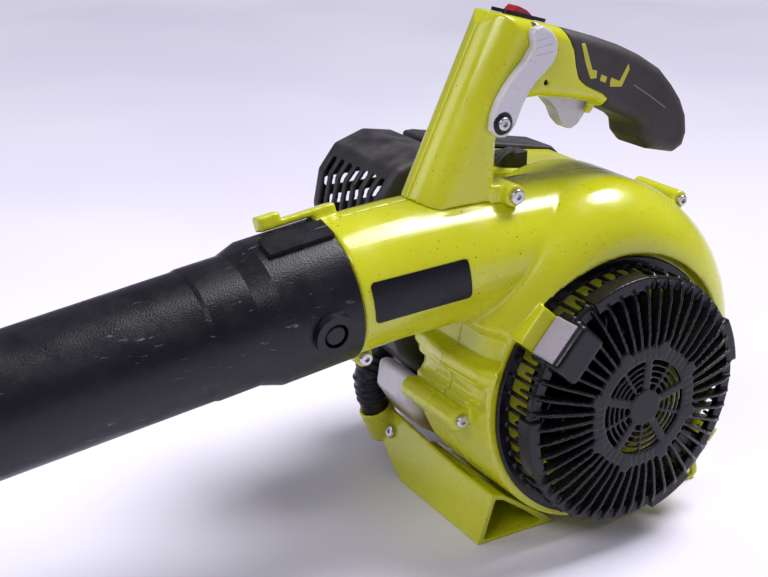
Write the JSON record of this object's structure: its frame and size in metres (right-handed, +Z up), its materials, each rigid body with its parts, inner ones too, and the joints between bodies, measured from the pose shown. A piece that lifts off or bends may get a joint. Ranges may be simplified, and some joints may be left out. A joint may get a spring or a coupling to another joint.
{
  "type": "handheld leaf blower",
  "caption": "Handheld petrol leaf blower with a scroll fan housing, round two-piece blower tube, arched throttle handle, hinged inlet grille and pull starter.",
  "frame": {"origin": "on the floor under the crankshaft and fan axis, on the parting plane of the fan housing's two shells", "axes": "+X the way the air leaves, +Y the operator's left, the inlet grille's side, +Z up"},
  "size_m": [1.0823, 0.277, 0.3749],
  "materials": {
    "lime_plastic": "moulded, glossy, worn",
    "black_plastic": "textured",
    "black_gloss": "satin",
    "grip_rubber": "soft overmould",
    "white_plastic": "glossy",
    "grey_plastic": "worn",
    "dark_grey_plastic": "textured",
    "red_plastic": "glossy",
    "tank_plastic": "milky",
    "screw_steel": "plated",
    "steel": "machined",
    "aluminium": "cast",
    "bearing_steel": "ground",
    "rubber_hose": "hose",
    "cord": "braided",
    "foam": "open foam",
    "primer_clear": "translucent",
    "badge": "printed blank"
  },
  "bodies": {
    "machine": {"air_filter_base": "dark_grey_plastic", "air_filter_cover": "dark_grey_plastic", "air_filter_element": "foam", "badge_panel": "badge", "base_frame": "lime_plastic", "blower_tube": "black_plastic", "carburettor": "aluminium", "cover_hinge_pin": "steel", "crank_bearings": "bearing_steel", "crankcase": "aluminium", "cylinder": "aluminium", "engine_bolts": "screw_steel", "engine_shroud": "lime_plastic", "engine_top_cover": "dark_grey_plastic", "fuel_lines": "rubber_hose", "fuel_tank": "tank_plastic", "grip_overmold": "grip_rubber", "handle_left_shell": "lime_plastic", "handle_pins": "steel", "handle_right_shell": "lime_plastic", "housing_screws": "screw_steel", "ignition_coil": "black_gloss", "ignition_lead": "rubber_hose", "intake_insulator": "dark_grey_plastic", "lever_bush": "black_gloss", "lever_screw": "screw_steel", "lower_handle": "black_plastic", "muffler": "steel", "muffler_cover": "dark_grey_plastic", "piston": "aluminium", "recoil_spring": "steel", "spark_plug": "screw_steel", "starter_housing": "dark_grey_plastic", "starter_rope": "cord", "starter_screws": "screw_steel", "switch_bezel": "black_gloss", "throttle_cable": "rubber_hose", "trigger_spring": "steel", "volute_left_shell": "lime_plastic", "volute_right_shell": "lime_plastic", "wrist_pin": "bearing_steel"},
    "rotor": {"crankshaft": "steel", "impeller": "black_gloss", "impeller_nut": "screw_steel", "flywheel": "aluminium"},
    "inlet_cover": {"inlet_cover": "black_plastic"},
    "cover_latch": {"cover_latch": "grey_plastic"},
    "throttle_trigger": {"throttle_trigger": "white_plastic"},
    "cruise_lever": {"cruise_lever": "white_plastic"},
    "stop_rocker": {"stop_rocker": "red_plastic"},
    "nozzle_tube": {"nozzle_tube": "black_plastic"},
    "tube_lock_button": {"tube_lock_button": "black_gloss"},
    "starter_grip": {"starter_grip": "black_plastic"},
    "starter_pulley": {"starter_pulley": "dark_grey_plastic"},
    "fuel_cap": {"fuel_cap": "black_plastic"},
    "choke_lever": {"choke_lever": "red_plastic"},
    "primer_bulb": {"primer_bulb": "primer_clear"},
    "filter_knob": {"filter_knob": "black_plastic"},
    "throttle_shaft": {"throttle_shaft": "steel"}
  },
  "joints": [
    {"name": "rotor_spin", "type": "hinge", "parent": "machine", "child": "rotor", "pos_m": [0, 0, 0.113], "axis": [0, 1, 0], "continuous": true},
    {"name": "inlet_cover_hinge", "type": "hinge", "parent": "machine", "child": "inlet_cover", "pos_m": [-0.08036, 0.06, 0.04388], "axis": [-0.6521, 0, 0.7581], "range_deg": [0, 90]},
    {"name": "cover_latch_push", "type": "slide", "parent": "inlet_cover", "child": "cover_latch", "axis": [-0.7581, 0, -0.6521], "range_m": [0, 0.004], "stiffness_N_per_m": 300, "springref_m": -0.006},
    {"name": "trigger_pull", "type": "hinge", "parent": "machine", "child": "throttle_trigger", "pos_m": [0.044, 0, 0.327], "axis": [0, 1, 0], "range_deg": [0, 12], "stiffness_Nm_per_rad": 0.5, "springref_deg": -11.46, "deforming": ["trigger_spring"]},
    {"name": "throttle_shaft_turn", "type": "hinge", "parent": "machine", "child": "throttle_shaft", "pos_m": [-0.068, -0.098, 0.183], "axis": [0, 1, 0], "range_deg": [0, 75]},
    {"name": "cruise_lever_swing", "type": "hinge", "parent": "machine", "child": "cruise_lever", "pos_m": [0.082, 0.026, 0.306], "axis": [0, -1, 0], "range_deg": [0, 35]},
    {"name": "stop_rocker_tip", "type": "hinge", "parent": "machine", "child": "stop_rocker", "pos_m": [0.05377, 0, 0.36425], "axis": [0, 1, 0], "range_deg": [0, 16]},
    {"name": "nozzle_twist", "type": "hinge", "parent": "machine", "child": "nozzle_tube", "pos_m": [0.59801, 0, 0.14901], "axis": [0.9903, 0, -0.1392], "range_deg": [0, 25]},
    {"name": "tube_lock_press", "type": "slide", "parent": "machine", "child": "tube_lock_button", "axis": [0.0194, -0.9903, 0.1378], "range_m": [0, 0.004], "stiffness_N_per_m": 300, "springref_m": -0.006},
    {"name": "starter_pull", "type": "slide", "parent": "machine", "child": "starter_grip", "axis": [-0.5736, 0, 0.8192], "range_m": [0, 0.6], "stiffness_N_per_m": 12, "springref_m": -0.5, "deforming": ["starter_rope"]},
    {"name": "starter_pulley_spin", "type": "hinge", "parent": "machine", "child": "starter_pulley", "pos_m": [0, -0.17, 0.113], "axis": [0, -1, 0], "range_deg": [0, 1376]},
    {"name": "fuel_cap_turn", "type": "hinge", "parent": "machine", "child": "fuel_cap", "pos_m": [-0.064, -0.096, 0.054], "axis": [-0.5, 0, 0.866], "range_deg": [0, 270]},
    {"name": "choke_swing", "type": "hinge", "parent": "machine", "child": "choke_lever", "pos_m": [-0.094, -0.1393, 0.199], "axis": [0, 1, 0], "range_deg": [0, 60]},
    {"name": "primer_press", "type": "slide", "parent": "machine", "child": "primer_bulb", "axis": [0, 1, 0], "range_m": [0, 0.004], "stiffness_N_per_m": 300, "springref_m": -0.004},
    {"name": "filter_knob_turn", "type": "hinge", "parent": "machine", "child": "filter_knob", "pos_m": [-0.12, -0.098, 0.183], "axis": [1, 0, 0], "range_deg": [0, 90]}
  ],
  "couplings": [
    {"joint": "throttle_shaft_turn", "follows": "trigger_pull", "ratio": 6.2},
    {"joint": "starter_pulley_spin", "follows": "starter_pull", "rad_per_m": 40}
  ]
}
